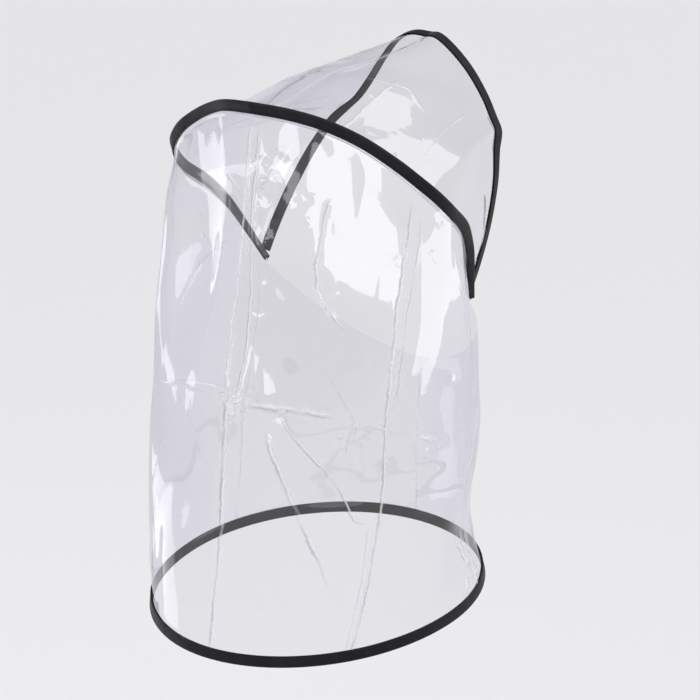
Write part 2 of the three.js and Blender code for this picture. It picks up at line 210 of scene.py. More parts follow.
# The bonnet's driving sizes, in metres, as the CAD part has them
bonnet = {
    "seamBack": 0.0995, "seamBackBelowSeat": 0.009, "seamHalfWidth": 0.112,
    "seamForward": 0.112, "seamDrop": 0.146,
    "brimForward": 0.106, "brimRise": 0.003,
    "finFoot": 0.0022, "finLeanBack": 0.12, "finLeanEar": 0.7, "finTurnFrom": 0.55,
    "crownTuck": 0.0018, "taperFrom": 0.7, "tapeTaper": 0.42, "footTaper": 0.5,
    "chinForward": 0.074, "chinDrop": 0.232, "faceEdgeFullness": 1.8, "faceEdgeFall": 1.2,
    "hemHalfWidth": 0.116, "hemCentreBack": 0.0555, "hemBackDepth": 0.125,
    "hemFrontDepth": 0.115, "hemDrop": 0.361, "hemBackDip": 0.006,
    "headBulge": 0.004, "bulgeMiddle": 0.44, "bulgeReach": 0.15, "bulgeHalfWidth": 0.2,
    "crownDome": 0.006, "domeRise": 0.2, "domeFade": 0.45, "domeEnd": 0.95,
    "packFoldHeight": 0.0022, "dentDepth": 0.008,
    "reliefRise": 0.11, "reliefFade": 0.1, "foldSpread": 0.25,
    "tapeWidth": 0.0085, "tapeWall": 0.0006, "filmWall": 0.001, "clearance": 0.0003,
}

# Half of the crown seam, from centre back to the side joint: along, across, forward, down
seamStations = np.array([
    (0.0, 0.0, 0.0, 0.0),
    (0.1, 0.217, 0.055, 0.02),
    (0.2, 0.412, 0.145, 0.068),
    (0.3, 0.612, 0.222, 0.14),
    (0.4, 0.798, 0.283, 0.234),
    (0.5, 0.938, 0.37, 0.349),
    (0.6, 1.0, 0.508, 0.472),
    (0.7, 0.974, 0.676, 0.582),
    (0.8, 0.914, 0.807, 0.707),
    (0.9, 0.849, 0.91, 0.852),
    (1.0, 0.786, 1.0, 1.0),
])

# Half of the brim, from centre front to the side joint: along, across, back, down
brimStations = np.array([
    (0.0, 0.0, 0.0, 0.012),
    (0.05, 0.115, 0.05, 0.003),
    (0.1, 0.23, 0.078, 0.028),
    (0.2, 0.408, 0.065, 0.128),
    (0.3, 0.557, 0.07, 0.245),
    (0.38, 0.668, 0.108, 0.335),
    (0.43, 0.752, 0.16, 0.386),
    (0.5, 0.822, 0.29, 0.449),
    (0.6, 0.9, 0.43, 0.555),
    (0.7, 0.952, 0.572, 0.667),
    (0.8, 0.985, 0.714, 0.778),
    (0.9, 1.0, 0.858, 0.889),
    (1.0, 1.0, 1.0, 1.0),
])

# Lean of the drape's back between seam and hem: down, share of the sideways step
leanStations = np.array([
    (0.0, 0.0), (0.12, 0.06), (0.25, 0.17), (0.39, 0.385), (0.52, 0.57), (0.82, 0.835), (1.0, 1.0),
])

# Broad packing folds: around, spread, lift. Around is a share of the half girth.
packFolds = [(0.0, 0.055, 1.0), (0.3, 0.055, 0.9), (0.62, 0.06, 0.7)]

# Soft dents of the drape: around, down, width, height, depth; a minus depth swells out
drapeDents = [
    (-0.66, 0.77, 0.12, 0.2, 1.5),
    (0.38, 0.24, 0.16, 0.24, -1.1),
    (-0.38, 0.2, 0.16, 0.26, -0.4),
    (0.38, 0.68, 0.16, 0.3, -0.5),
    (-0.14, 0.3, 0.07, 0.2, 0.35),
    (-0.42, 0.22, 0.06, 0.16, 0.4),
    (0.16, 0.34, 0.08, 0.24, 0.35),
    (-0.2, 0.62, 0.06, 0.14, 0.4),
    (0.45, 0.8, 0.08, 0.14, 0.35),
]


def smooth(t):
    k = np.clip(t, 0, 1)
    return k * k * (3 - 2 * k)


def unit(vectors):
    return vectors / np.maximum(np.linalg.norm(vectors, axis=-1, keepdims=True), 1e-12)


def readTable(table, column, place):
    keys, values = table[:, 0], table[:, column]
    slopes = np.diff(values) / np.diff(keys)
    tangents = np.concatenate([slopes[:1], (slopes[:-1] + slopes[1:]) / 2, slopes[-1:]])
    i = np.clip(np.searchsorted(keys, place) - 1, 0, len(keys) - 2)
    span = keys[i + 1] - keys[i]
    t = (place - keys[i]) / span
    t2, t3 = t * t, t * t * t
    return (values[i] * (2 * t3 - 3 * t2 + 1) + values[i + 1] * (3 * t2 - 2 * t3)
            + span * (tangents[i] * (t3 - 2 * t2 + t) + tangents[i + 1] * (t3 - t2)))


# Crown seam from -1 (its right end) through 0 (centre back) to 1 (its left end)
def seamPoint(place):
    away = np.abs(place)
    return np.stack([
        np.sign(place) * bonnet["seamHalfWidth"] * readTable(seamStations, 1, away),
        bonnet["seamBack"] - bonnet["seamForward"] * readTable(seamStations, 2, away),
        -bonnet["seamBackBelowSeat"] - bonnet["seamDrop"] * readTable(seamStations, 3, away),
    ], -1)


earJoint = seamPoint(np.array(1.0))


# Brim edge from -1 (its right end) through 0 (centre front) to 1 (its left end)
def brimPoint(place):
    away = np.abs(place)
    front, top = bonnet["brimForward"], bonnet["brimRise"]
    return np.stack([
        np.sign(place) * earJoint[0] * readTable(brimStations, 1, away),
        -front + (earJoint[1] + front) * readTable(brimStations, 2, away),
        top - (top - earJoint[2]) * readTable(brimStations, 3, away),
    ], -1)


# Free front edge of the drape, from the side joint (0) to its lowest place in the middle (1)
def faceEdgePoint(place, side):
    turn = place * math.pi / 2
    power = 2 / bonnet["faceEdgeFullness"]
    inwards = np.maximum(0, np.cos(turn)) ** power
    return np.stack([
        side * earJoint[0] * inwards,
        earJoint[1] - (bonnet["chinForward"] + earJoint[1]) * np.sin(turn) ** power,
        earJoint[2] - (bonnet["chinDrop"] + earJoint[2]) * np.sin(turn) ** bonnet["faceEdgeFall"],
    ], -1)


hemTurns = np.linspace(0, math.pi, 401)
hemDepths = np.where(hemTurns < math.pi / 2, bonnet["hemBackDepth"], bonnet["hemFrontDepth"])
hemLine = np.stack([
    bonnet["hemHalfWidth"] * np.sin(hemTurns),
    bonnet["hemCentreBack"] + hemDepths * np.cos(hemTurns),
    -bonnet["hemDrop"] - bonnet["hemBackDip"] * np.cos(hemTurns),
], -1)


def reachAlong(line):
    return np.concatenate([[0], np.cumsum(np.linalg.norm(np.diff(line, axis=0), axis=1))])


def hemPoint(around, side):
    reach = reachAlong(hemLine)
    point = np.stack([np.interp(around * reach[-1], reach, hemLine[:, k]) for k in range(3)], -1)
    point[..., 0] *= side
    return point


measure = np.linspace(0, 1, 81)   # places along a line whose length is taken
seamHalf = reachAlong(seamPoint(measure))[-1]
faceHalf = reachAlong(faceEdgePoint(measure, 1))[-1]
earShare = seamHalf / (seamHalf + faceHalf)


def drapeBase(around, side, down):
    seam = seamPoint(side * np.minimum(around / earShare, 1))
    face = faceEdgePoint(np.clip((around - earShare) / (1 - earShare), 0, 1), side)
    top = np.where((around <= earShare)[..., None], seam, face)
    frontness = smooth((around - earShare) / (1 - earShare))
    lean = readTable(leanStations, 1, down)
    step = lean + (down - lean) * frontness
    return top + (hemPoint(around, side) - top) * np.stack([step, step, down], -1)


def drapeOutward(around, side, down):
    nudge = 0.004
    before = drapeBase(np.maximum(0, around - nudge), side, down)
    after = drapeBase(np.minimum(1, around + nudge), side, down)
    along = (after - before) * side[..., None]
    outward = unit(np.stack([along[..., 1], -along[..., 0], np.zeros_like(around)], -1))
    base = drapeBase(around, side, down)
    facing = outward[..., 0] * base[..., 0] + outward[..., 1] * (base[..., 1] - bonnet["hemCentreBack"])
    return outward * np.where(facing < 0, -1, 1)[..., None]


def drapeRelief(around, side, down):
    fade = smooth(down / bonnet["reliefRise"]) * smooth((1 - down) / bonnet["reliefFade"])
    lift = np.zeros_like(around)
    for place, spread, share in packFolds:
        lift += bonnet["packFoldHeight"] * share * np.maximum(0, 1 - np.abs(around - place) / spread)
    for place, drop, width, height, depth in drapeDents:
        across, along = (side * around - place) / width, (down - drop) / height
        lift -= bonnet["dentDepth"] * depth * np.exp(-(across ** 2 + along ** 2))
    return lift * fade


# The drape at a signed share of the half girth (minus: its right) and a share of its fall
def drapePoint(signed, down, extra=0.0):
    around, side = np.abs(signed), np.where(signed < 0, -1.0, 1.0)
    lift = drapeRelief(around, side, down) + extra
    return drapeBase(around, side, down) + drapeOutward(around, side, down) * lift[..., None]


# The seam's fin stands lower, and its tape is tucked narrower, towards the side joints
def earTaper(place):
    return smooth((np.abs(place) - bonnet["taperFrom"]) / (1 - bonnet["taperFrom"]))


def finHeight(place):
    taper = earTaper(place)
    tape = bonnet["tapeWidth"] - bonnet["tapeWall"] - bonnet["clearance"]
    foot = bonnet["finFoot"] * (1 - bonnet["footTaper"] * taper)
    return tape * (1 - bonnet["tapeTaper"] * taper) + foot


filmOffset = (bonnet["filmWall"] + bonnet["clearance"]) / 2


# Frame of the seam's fin: foot, direction along the seam, up the fin, out of its back face
def seamFrame(place):
    step = 0.02
    along = unit(seamPoint(np.minimum(1, place + step)) - seamPoint(np.maximum(-1, place - step)))
    side = np.where(place < 0, -1.0, 1.0)
    around = np.abs(place) * earShare
    drop = np.full_like(around, bonnet["reliefRise"])
    fall = unit(drapeBase(around, side, drop) - drapeBase(around, side, np.zeros_like(around)))
    outward = unit(np.cross(fall, along))
    flat = seamPoint(place) - np.array([0, bonnet["hemCentreBack"], 0])
    facing = outward[..., 0] * flat[..., 0] + outward[..., 1] * flat[..., 1]
    outward *= np.where(facing < 0, -1, 1)[..., None]
    turned = smooth((np.abs(place) - bonnet["finTurnFrom"]) / (1 - bonnet["finTurnFrom"]))
    lean = bonnet["finLeanBack"] + (bonnet["finLeanEar"] - bonnet["finLeanBack"]) * turned
    fin = -fall + outward * lean[..., None]
    fin = unit(fin - along * np.sum(fin * along, -1, keepdims=True))
    face = unit(np.cross(along, fin))
    face *= np.where(np.sum(face * outward, -1) < 0, -1, 1)[..., None]
    return seamPoint(place), along, fin, face


# Frame of the brim's edge: foot, direction along it, out past the edge, out of the film
def brimFrame(place):
    step = 0.02
    along = unit(brimPoint(np.minimum(1, place + step)) - brimPoint(np.maximum(-1, place - step)))
    depth = brimPoint(place) - seamPoint(place)
    depth = unit(depth - along * np.sum(depth * along, -1, keepdims=True))
    return brimPoint(place), along, depth, unit(np.cross(along, depth))


# Frame of the hem, in the same order
def hemFrame(signed):
    foot = drapePoint(signed, np.ones_like(signed))
    strip = 0.03
    above = drapePoint(signed, np.full_like(signed, 1 - strip))
    step = 0.004
    along = unit(drapePoint(wrap(signed + step), np.ones_like(signed))
                 - drapePoint(wrap(signed - step), np.ones_like(signed)))
    depth = foot - above
    depth = unit(depth - along * np.sum(depth * along, -1, keepdims=True))
    return foot, along, depth, unit(np.cross(along, depth))


def wrap(signed):
    return (signed + 1) % 2 - 1


# A mesh grid, laid with one side along u and one along v, and shaped by placeAt(u, v)
def shapedGrid(name, columns, rows, placeAt):
    bpy.ops.object.select_all(action="DESELECT")
    bpy.ops.mesh.primitive_grid_add(x_subdivisions=columns, y_subdivisions=rows, size=2)
    piece = bpy.context.object
    piece.name = name
    piece.data.name = name
    corners = np.empty(len(piece.data.vertices) * 3)
    piece.data.vertices.foreach_get("co", corners)
    corners = corners.reshape(-1, 3)
    u, v = (corners[:, 0] + 1) / 2, (corners[:, 1] + 1) / 2
    piece.data.vertices.foreach_set("co", placeAt(u, v).reshape(-1))
    turnOutwards(piece)
    bpy.ops.object.shade_smooth()
    return piece


roundJoin = 0.0001           # the first and last column of a round piece join within this


# Turns the faces outwards, after joining corners that lie nearer than the given distance
def turnOutwards(piece, join=0.0):
    bpy.ops.object.select_all(action="DESELECT")
    bpy.context.view_layer.objects.active = piece
    piece.select_set(True)
    bpy.ops.object.mode_set(mode="EDIT")
    bpy.ops.mesh.select_all(action="SELECT")
    if join:
        bpy.ops.mesh.remove_doubles(threshold=join)
    bpy.ops.mesh.normals_make_consistent(inside=False)
    bpy.ops.object.mode_set(mode="OBJECT")


# Creases of the film, each as its force and the places (around, down) that it runs through.
# Both are shares, with minus around on the bonnet's right. The force is how white and sharp
# it is, 0 to 1, and a number at the end makes the whole crease that many times broader.
drapeLook = {
    "columns": 440,
    "rows": 220,
    "finRows": 8,
    "crowding": 1.1, "crowdAt": -0.18, "crowdSpread": 0.42,
    "girth": 0.77,           # metres round the drape at half height
    "fall": 0.355,
    "ridge": 0.0003,         # height of a full-force crease in the mesh; its sharp top is bump
    "ridgeWidth": 0.003,
    "wave": 0.0011,          # slow waves of the hanging film
    "waveFrom": 0.12,        # share of the fall in which they grow
    "topFade": 0.03, "hemFade": 0.04,      # shares of the fall where all relief ends
    "pleat": 0.0003,         # small gathers under the seam, in uneven groups
    "pleatReach": 0.10, "pleatLength": 0.0032,
    "pleatShift": 3, "pleatShiftPace": 17, "pleatGroupPace": 41,
    "sewnFade": 0.012,       # share of the half girth in which the sewn fin ends
    "flankFade": 0.15,
    "creases": [
        (0.9, [(-0.001, 0.0), (0.001, 0.1), (0.002, 0.2), (0.002, 0.3), (0.0, 0.39), (-0.001, 0.44),
               (-0.004, 0.5)]),
        (0.85, [(-0.018, 0.0), (-0.014, 0.06), (-0.01, 0.12), (-0.01, 0.2), (-0.0175, 0.276),
                (-0.025, 0.335), (-0.03, 0.385), (-0.031, 0.43), (-0.028, 0.47), (-0.022, 0.505)]),
        (1.0, [(-0.004, 0.5), (-0.01, 0.56), (-0.013, 0.66), (-0.013, 0.8), (-0.011, 0.9),
               (-0.004, 1.0)], 1.8),
        (0.9, [(-0.3, 0.02), (-0.289, 0.15), (-0.282, 0.26), (-0.296, 0.45), (-0.308, 0.6),
               (-0.306, 0.7), (-0.297, 0.79), (-0.291, 0.88), (-0.281, 0.95), (-0.272, 1.0)], 1.4),
        (0.5, [(-0.284, 0.7), (-0.283, 0.78), (-0.277, 0.87), (-0.262, 1.0)]),
        (0.6, [(-0.32, 0.03), (-0.31, 0.16), (-0.302, 0.27), (-0.313, 0.45)]),
        (0.8, [(0.3, 0.02), (0.292, 0.3), (0.302, 0.62), (0.3, 1.0)]),
        (0.6, [(-0.62, 0.05), (-0.615, 0.5), (-0.62, 1.0)]),
        (0.6, [(0.62, 0.05), (0.617, 0.5), (0.62, 1.0)]),
        (0.8, [(0.02, 0.514), (-0.04, 0.511), (-0.07, 0.508)]),
        (0.75, [(-0.03, 0.511), (-0.09, 0.507), (-0.14, 0.504), (-0.21, 0.502)], 2.4),
        (0.5, [(-0.015, 0.524), (-0.05, 0.525)]),
        (0.35, [(-0.24, 0.502), (-0.3, 0.501), (-0.37, 0.502), (-0.43, 0.512)]),
        (0.2, [(0.02, 0.514), (0.12, 0.508), (0.3, 0.512), (0.5, 0.507), (0.7, 0.5)]),
        (0.85, [(-0.083, 0.552), (-0.098, 0.59), (-0.125, 0.64), (-0.155, 0.7), (-0.18, 0.755),
                (-0.205, 0.8), (-0.223, 0.848)], 1.9),
        (0.8, [(-0.105, 0.512), (-0.12, 0.54), (-0.147, 0.565), (-0.19, 0.605), (-0.228, 0.645),
               (-0.258, 0.7), (-0.287, 0.706)], 1.4),
        (0.8, [(-0.147, 0.107), (-0.138, 0.15), (-0.132, 0.2), (-0.127, 0.25), (-0.135, 0.29),
               (-0.157, 0.32), (-0.195, 0.345)], 1.4),
        (0.7, [(-0.41, 0.05), (-0.46, 0.14), (-0.53, 0.27)]),
        (0.6, [(-0.45, 0.04), (-0.5, 0.14), (-0.55, 0.29)]),
        (0.6, [(-0.5, 0.03), (-0.53, 0.16), (-0.56, 0.3)]),
        (0.95, [(-0.52, 0.77), (-0.56, 0.83), (-0.61, 0.91), (-0.66, 0.965)], 2.2),
        (0.8, [(-0.55, 0.755), (-0.59, 0.83), (-0.63, 0.88), (-0.68, 0.94)], 1.7),
        (0.8, [(-0.58, 0.87), (-0.57, 0.93), (-0.555, 0.98)], 1.7),
        (0.8, [(-0.63, 0.9), (-0.625, 0.95), (-0.61, 0.985)], 1.7),
        (0.5, [(0.52, 0.08), (0.45, 0.2), (0.41, 0.33)]),
        (0.5, [(0.2, 0.6), (0.26, 0.74), (0.24, 0.86)]),
        (0.5, [(0.42, 0.52), (0.5, 0.66), (0.55, 0.8)]),
        (0.5, [(0.8, 0.3), (0.86, 0.5), (0.84, 0.7)]),
        (0.5, [(-0.84, 0.35), (-0.8, 0.55), (-0.86, 0.75)]),
        (0.7, [(1.0, 0.02), (0.998, 0.5), (1.0, 1.0)]),
    ],
    # Patches of small crinkles: around, down, half spans, how many
    "crinkles": [
        (-0.03, 0.1, 0.02, 0.06, 5),
        (-0.012, 0.505, 0.02, 0.02, 5),
        (-0.24, 0.52, 0.025, 0.025, 7),
        (-0.4, 0.52, 0.02, 0.03, 6),
        (-0.595, 0.9, 0.045, 0.05, 8),
        (0.5, 0.08, 0.06, 0.05, 6),
        (0.31, 0.5, 0.03, 0.02, 4),
    ],
    # Small smooth dimples and bumps: around, down, radii in mm along and down, height in mm
    "dimples": [
        (-0.035, 0.085, 4.5, 4.0, 0.7), (-0.05, 0.11, 4.0, 2.6, -0.6), (-0.028, 0.14, 3.0, 4.0, 0.6),
        (-0.042, 0.19, 3.6, 6.0, 0.8), (-0.022, 0.235, 2.6, 6.0, -0.6), (-0.04, 0.285, 3.6, 5.5, 0.8),
        (-0.028, 0.335, 3.0, 4.5, 0.7), (-0.05, 0.36, 3.2, 4.0, -0.5), (-0.105, 0.13, 4.0, 2.6, 0.6),
        (-0.1, 0.165, 3.0, 4.5, -0.6), (-0.085, 0.145, 2.6, 3.2, 0.5), (-0.185, 0.36, 4.5, 14.0, 0.9),
        (-0.165, 0.31, 3.0, 9.0, -0.6), (-0.215, 0.41, 4.0, 8.0, 0.7), (-0.06, 0.94, 7.0, 3.0, 0.8),
        (-0.095, 0.9, 5.0, 3.4, 0.6), (-0.22, 0.93, 4.0, 14.0, 0.9), (-0.09, 0.504, 13.0, 3.4, 0.9),
        (-0.165, 0.5, 9.0, 2.6, 0.7), (-0.4, 0.54, 3.6, 3.6, 0.7), (-0.415, 0.57, 3.0, 3.0, -0.6),
        (0.02, 0.3, 2.6, 5.0, 0.6), (0.03, 0.34, 3.2, 3.4, -0.6), (0.06, 0.12, 4.0, 7.0, 0.5),
        (-0.47, 0.36, 4.0, 9.0, 0.7), (-0.35, 0.11, 4.0, 4.5, 0.6), (-0.25, 0.6, 3.4, 10.0, 0.5),
        (-0.585, 0.875, 5.0, 9.0, 1.3), (-0.62, 0.93, 4.0, 6.0, -1.0), (-0.555, 0.83, 3.6, 9.0, 0.9),
        (-0.645, 0.9, 4.0, 8.0, 0.9),
    ],
    # Broad rolls beside the folds: around, spread, height, from and to down
    "flanks": [
        (-0.3, 0.05, 0.0016, 0.0, 0.55),
        (-0.345, 0.03, -0.0008, 0.0, 0.5),
        (0.0, 0.03, 0.0010, 0.0, 1.0),
    ],
    "seed": 11,
}
crownLook = {
    "columns": 330,
    "rows": 130,
    "finRows": 8,
    "stripRows": 8,
    "reach": 0.985,          # how far the film goes towards the side joints
    "tuckPace": 12,          # the tuck at the seam is full after 1/12 of the way
    "edgeFade": 0.06, "sideFade": 0.2,     # shares where all relief ends
    "ridge": 0.0003,
    "ridgeWidth": 0.003,
    "wave": 0.0009,
    "halfGirth": 0.24,
    "fall": 0.2,
    "creases": [
        (0.9, [(0.0, 0.0), (0.004, 0.3), (-0.003, 0.6), (0.0, 1.0)]),
        (0.5, [(-0.22, 0.05), (-0.19, 0.35), (-0.16, 0.6)]),
        (0.5, [(0.25, 0.1), (0.2, 0.4), (0.22, 0.7)]),
        (0.4, [(-0.42, 0.2), (-0.36, 0.5), (-0.34, 0.8)]),
        (0.4, [(0.45, 0.15), (0.4, 0.5), (0.36, 0.85)]),
        (0.4, [(-0.1, 0.45), (-0.2, 0.55), (-0.3, 0.5)]),
        (0.7, [(-0.62, 0.25), (-0.75, 0.3), (-0.9, 0.36)]),
        (0.6, [(-0.66, 0.58), (-0.78, 0.6), (-0.92, 0.6)]),
        (0.7, [(0.62, 0.3), (0.75, 0.34), (0.9, 0.4)]),
        (0.6, [(0.68, 0.62), (0.8, 0.6), (0.92, 0.62)]),
    ],
    "crinkles": [
        (-0.3, 0.12, 0.08, 0.08, 4),
        (0.28, 0.12, 0.08, 0.08, 4),
        (-0.02, 0.9, 0.04, 0.06, 5),
    ],
    "dimples": [
        (-0.15, 0.35, 9.0, 7.0, 0.8), (0.16, 0.4, 9.0, 8.0, 0.8), (-0.05, 0.7, 5.0, 9.0, 0.7),
        (0.06, 0.62, 5.0, 8.0, -0.6), (-0.34, 0.3, 6.0, 10.0, 0.7), (0.36, 0.36, 6.0, 9.0, 0.7),
    ],
    "seed": 23,
}


# What the relief of both films has in common, in metres, radians and shares
filmRelief = {
    "creaseCore": 0.0018,    # how far from a crease its force is full
    "creaseFade": 0.0013,    # and how much further it dies away
    "creaseEnd": 0.014,      # how far from its ends it is weaker
    "strewnLong": (0.002, 0.006), "strewnBend": 0.9, "strewnForce": (0.4, 0.8),
    "wobble": 0.0002,
    "waves": 16, "waveLength": (0.035, 0.12), "waveTurn": 0.45, "waveSum": 0.3,
    # Sines as height, radians along the first and the second value, start:
    # they bend a crease's line, and a dimple's outline across and down (mm)
    "lineSines": [(1, 410, 1, 0), (1, 173, 2.1, 1), (0.6, 790, 3.3, 0), (1.2, 71, 1, 0)],
    "acrossSines": [(1.1, 0, 0.62, 0.4), (0.7, 0.3, 1.37, 0)],
    "downSines": [(1.2, 0.7, 0, 1.3), (0.7, 1.5, -0.25, 0)],
}


def addSines(base, first, second, sines):
    return sum((height * np.sin(first * a + second * b + start) for height, a, b, start in sines), base)


# Short creases strewn over the crinkled patches
def strewnCreases(look, girth, fall):
    dice = np.random.default_rng(look["seed"])
    most = filmRelief["strewnBend"]
    strewn = []
    for around, down, halfAround, halfDown, count in look["crinkles"]:
        for _ in range(count):
            a = around + halfAround * dice.uniform(-1, 1)
            d = down + halfDown * dice.uniform(-1, 1)
            heading, long = dice.uniform(0, math.pi), dice.uniform(*filmRelief["strewnLong"])
            bend = heading + dice.uniform(-most, most)
            mid = (a + long * math.cos(heading) / girth, d + long * math.sin(heading) / fall)
            end = (mid[0] + long * math.cos(bend) / girth, mid[1] + long * math.sin(bend) / fall)
            strewn.append((dice.uniform(*filmRelief["strewnForce"]), [(a, d), mid, end]))
    return strewn


# Signed distance, in metres, to the nearest crease, and that crease's force there,
# which dies away a few millimetres off the crease and towards its two ends
def creaseField(around, down, creases, girth, fall):
    x, y = around * girth, down * fall
    x, y = x + wobble(y, 0.0) + wobble(x, 3.0) * 0.5, y + wobble(x, 1.0) + wobble(y, 2.0) * 0.5
    nearest = np.full(x.shape, 1.0)
    signed = np.full(x.shape, 1.0)
    force = np.zeros(x.shape)
    for strength, places, *wide in creases:
        broad = wide[0] if wide else 1.0
        points = [np.array([a * girth, d * fall]) for a, d in places]
        spans = [max(np.hypot(*(after - before)), 1e-6) for before, after in zip(points, points[1:])]
        whole, behind = sum(spans), 0.0
        fade = min(filmRelief["creaseEnd"], whole / 3)
        for start, end, span in zip(points, points[1:], spans):
            along = end - start
            t = np.clip(((x - start[0]) * along[0] + (y - start[1]) * along[1]) / span ** 2, 0, 1)
            gapX, gapY = x - start[0] - along[0] * t, y - start[1] - along[1] * t
            gap = np.hypot(gapX, gapY) / broad
            closer = gap < nearest
            toEnd = np.minimum(behind + t * span, whole - behind - t * span)
            nearest = np.where(closer, gap, nearest)
            signed = np.where(closer, np.where(gapX * along[1] < gapY * along[0], -gap, gap), signed)
            force = np.where(closer, strength * smooth(toEnd / fade), force)
            behind += span
    return signed, force * (1 - smooth((nearest - filmRelief["creaseCore"]) / filmRelief["creaseFade"]))


# Unevenness of a crease's line, a few tenths of a millimetre
def wobble(place, phase):
    return filmRelief["wobble"] * addSines(0.0, place, phase, filmRelief["lineSines"])


# Lift of the film at its dimples and bumps, which are given in mm
def dimpleField(around, down, dimples, girth, fall):
    girth, fall = girth * 1000, fall * 1000
    x, y = around * girth, down * fall
    x, y = addSines(x, x, y, filmRelief["acrossSines"]), addSines(y, x, y, filmRelief["downSines"])
    lift = np.zeros(x.shape)
    for a, d, wide, tall, height in dimples:
        lift += height * np.exp(-(((x - a * girth) / wide) ** 2 + ((y - d * fall) / tall) ** 2))
    return lift / 1000


# Slow waves of thin film, from a few sines
def filmWaves(around, down, girth, fall, seed):
    dice = np.random.default_rng(seed)
    x, y = around * girth, down * fall
    waves = np.zeros(x.shape)
    for _ in range(filmRelief["waves"]):
        length = dice.uniform(*filmRelief["waveLength"])
        heading = dice.normal(0, filmRelief["waveTurn"])
        phase = dice.uniform(0, 2 * math.pi)
        run = x * math.cos(heading) + y * math.sin(heading)
        waves += length * np.sin(run * 2 * math.pi / length + phase)
    return waves / filmRelief["waveSum"]


def storeCreases(piece, signed, force):
    for key, values in (("creaseSide", np.clip(signed * 1000, -9, 9)), ("creaseForce", force)):
        piece.data.attributes.new(key, "FLOAT", "POINT").data.foreach_set("value", values)


def makeDrape():
    look = drapeLook
    girth, fall = look["girth"] / 2, look["fall"]
    creases = look["creases"] + strewnCreases(look, girth, fall)
    finShare = look["finRows"] / look["rows"]
    field = {}

    # columns lie closer where the creases are
    ruler = np.linspace(-1, 1, 801)
    density = 1 + look["crowding"] * np.exp(-((ruler - look["crowdAt"]) / look["crowdSpread"]) ** 2)
    counted = np.concatenate([[0], np.cumsum((density[1:] + density[:-1]) / 2)])

    def placeAt(u, v):
        signed = np.interp(u * counted[-1], counted, ruler)
        around = np.abs(signed)
        rise = np.maximum(0, 1 - v / finShare)
        down = np.maximum(0, (v - finShare) / (1 - finShare))
        side, force = creaseField(signed, down, creases, girth, fall)
        edges = smooth(down / look["topFade"]) * smooth((1 - down) / look["hemFade"])
        lift = look["ridge"] * force * np.maximum(0, 1 - np.abs(side) / look["ridgeWidth"])
        waves = filmWaves(signed, down, girth, fall, look["seed"])
        lift += look["wave"] * waves * smooth(down / look["waveFrom"])
        lift += dimpleField(signed, down, look["dimples"], girth, fall)
        for a, spread, height, top, bottom in look["flanks"]:
            span = smooth((down - top) / look["flankFade"]) * smooth((bottom - down) / look["flankFade"])
            lift += height * span * np.exp(-((signed - a) / spread) ** 2)
        shift = look["pleatShift"] * np.sin(signed * look["pleatShiftPace"])
        gathers = np.sin(signed * girth / look["pleatLength"] + shift)
        gathers *= np.sin(signed * look["pleatGroupPace"] + 1)
        lift += look["pleat"] * gathers * np.exp(-down / look["pleatReach"])
        field["side"], field["force"] = side, force * smooth(v / finShare)
        film = drapePoint(signed, down, lift * edges)
        place = np.clip(signed / earShare, -1, 1)
        _, _, fin, face = seamFrame(place)
        near = 1 - smooth(down / bonnet["foldSpread"])
        sewn = 1 - smooth((around - earShare) / look["sewnFade"])
        film += face * (filmOffset * near * sewn)[..., None]
        return film + fin * (finHeight(place) * rise * sewn)[..., None]

    drape = shapedGrid("drape_film", look["columns"], look["rows"], placeAt)
    storeCreases(drape, field["side"], field["force"])
    turnOutwards(drape, join=roundJoin)
    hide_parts("back_drape")
    return drape


def makeCrown():
    look = crownLook
    creases = look["creases"] + strewnCreases(look, look["halfGirth"], look["fall"])
    finShare, stripShare = look["finRows"] / look["rows"], look["stripRows"] / look["rows"]
    middle = np.array([0, 0, earJoint[2] / 2])
    field = {}

    def placeAt(u, v):
        place = (2 * u - 1) * look["reach"]
        away = np.abs(place)
        rise = np.maximum(0, 1 - v / finShare)
        share = np.clip((v - finShare) / (1 - finShare - stripShare), 0, 1)
        last = np.clip((v - 1 + stripShare) / stripShare, 0, 1)
        foot, _, fin, face = seamFrame(place)
        tuck = filmOffset + bonnet["crownTuck"] * smooth(share * look["tuckPace"])
        fold = foot - face * tuck[..., None]
        edge, _, depth, _ = brimFrame(place)
        half = np.linalg.norm(fold - edge, axis=-1) / 2
        strip = edge - depth * np.minimum(bonnet["tapeWidth"], half)[..., None]
        film = fold + (strip - fold) * share[..., None]
        inReach = (share - bonnet["bulgeMiddle"]) / bonnet["bulgeReach"]
        inWidth = place / bonnet["bulgeHalfWidth"]
        hump = bonnet["headBulge"] * np.exp(-(inReach ** 2 + inWidth ** 2))
        sides = smooth(away / bonnet["domeRise"])
        sides *= smooth((bonnet["domeEnd"] - away) / bonnet["domeFade"])
        dome = bonnet["crownDome"] * np.sin(math.pi * share) * sides
        side, force = creaseField(place, share, creases, look["halfGirth"], look["fall"])
        edges = smooth(share / look["edgeFade"]) * smooth((1 - share) / look["edgeFade"])
        lift = look["ridge"] * force * np.maximum(0, 1 - np.abs(side) / look["ridgeWidth"])
        lift += look["wave"] * filmWaves(place, share, look["halfGirth"], look["fall"], look["seed"])
        lift += dimpleField(place, share, look["dimples"], look["halfGirth"], look["fall"])
        lift *= edges * smooth((1 - away) / look["sideFade"])
        outward = unit(film - middle)
        film[..., 2] += hump
        film += outward * (dome + lift)[..., None]
        film += (edge - strip) * last[..., None]
        field["side"], field["force"] = side, force * smooth(v / finShare)
        return film + fin * (finHeight(place) * rise)[..., None]

    crown = shapedGrid("crown_film", look["columns"], look["rows"], placeAt)
    storeCreases(crown, field["side"], field["force"])
    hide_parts("crown_panel")
    return crown


addCamera()
addStudio()
print("stage: camera and studio set")
crownFilm = makeCrown()
drapeFilm = makeDrape()
print("stage: film shaped,", len(crownFilm.data.polygons) + len(drapeFilm.data.polygons), "faces")


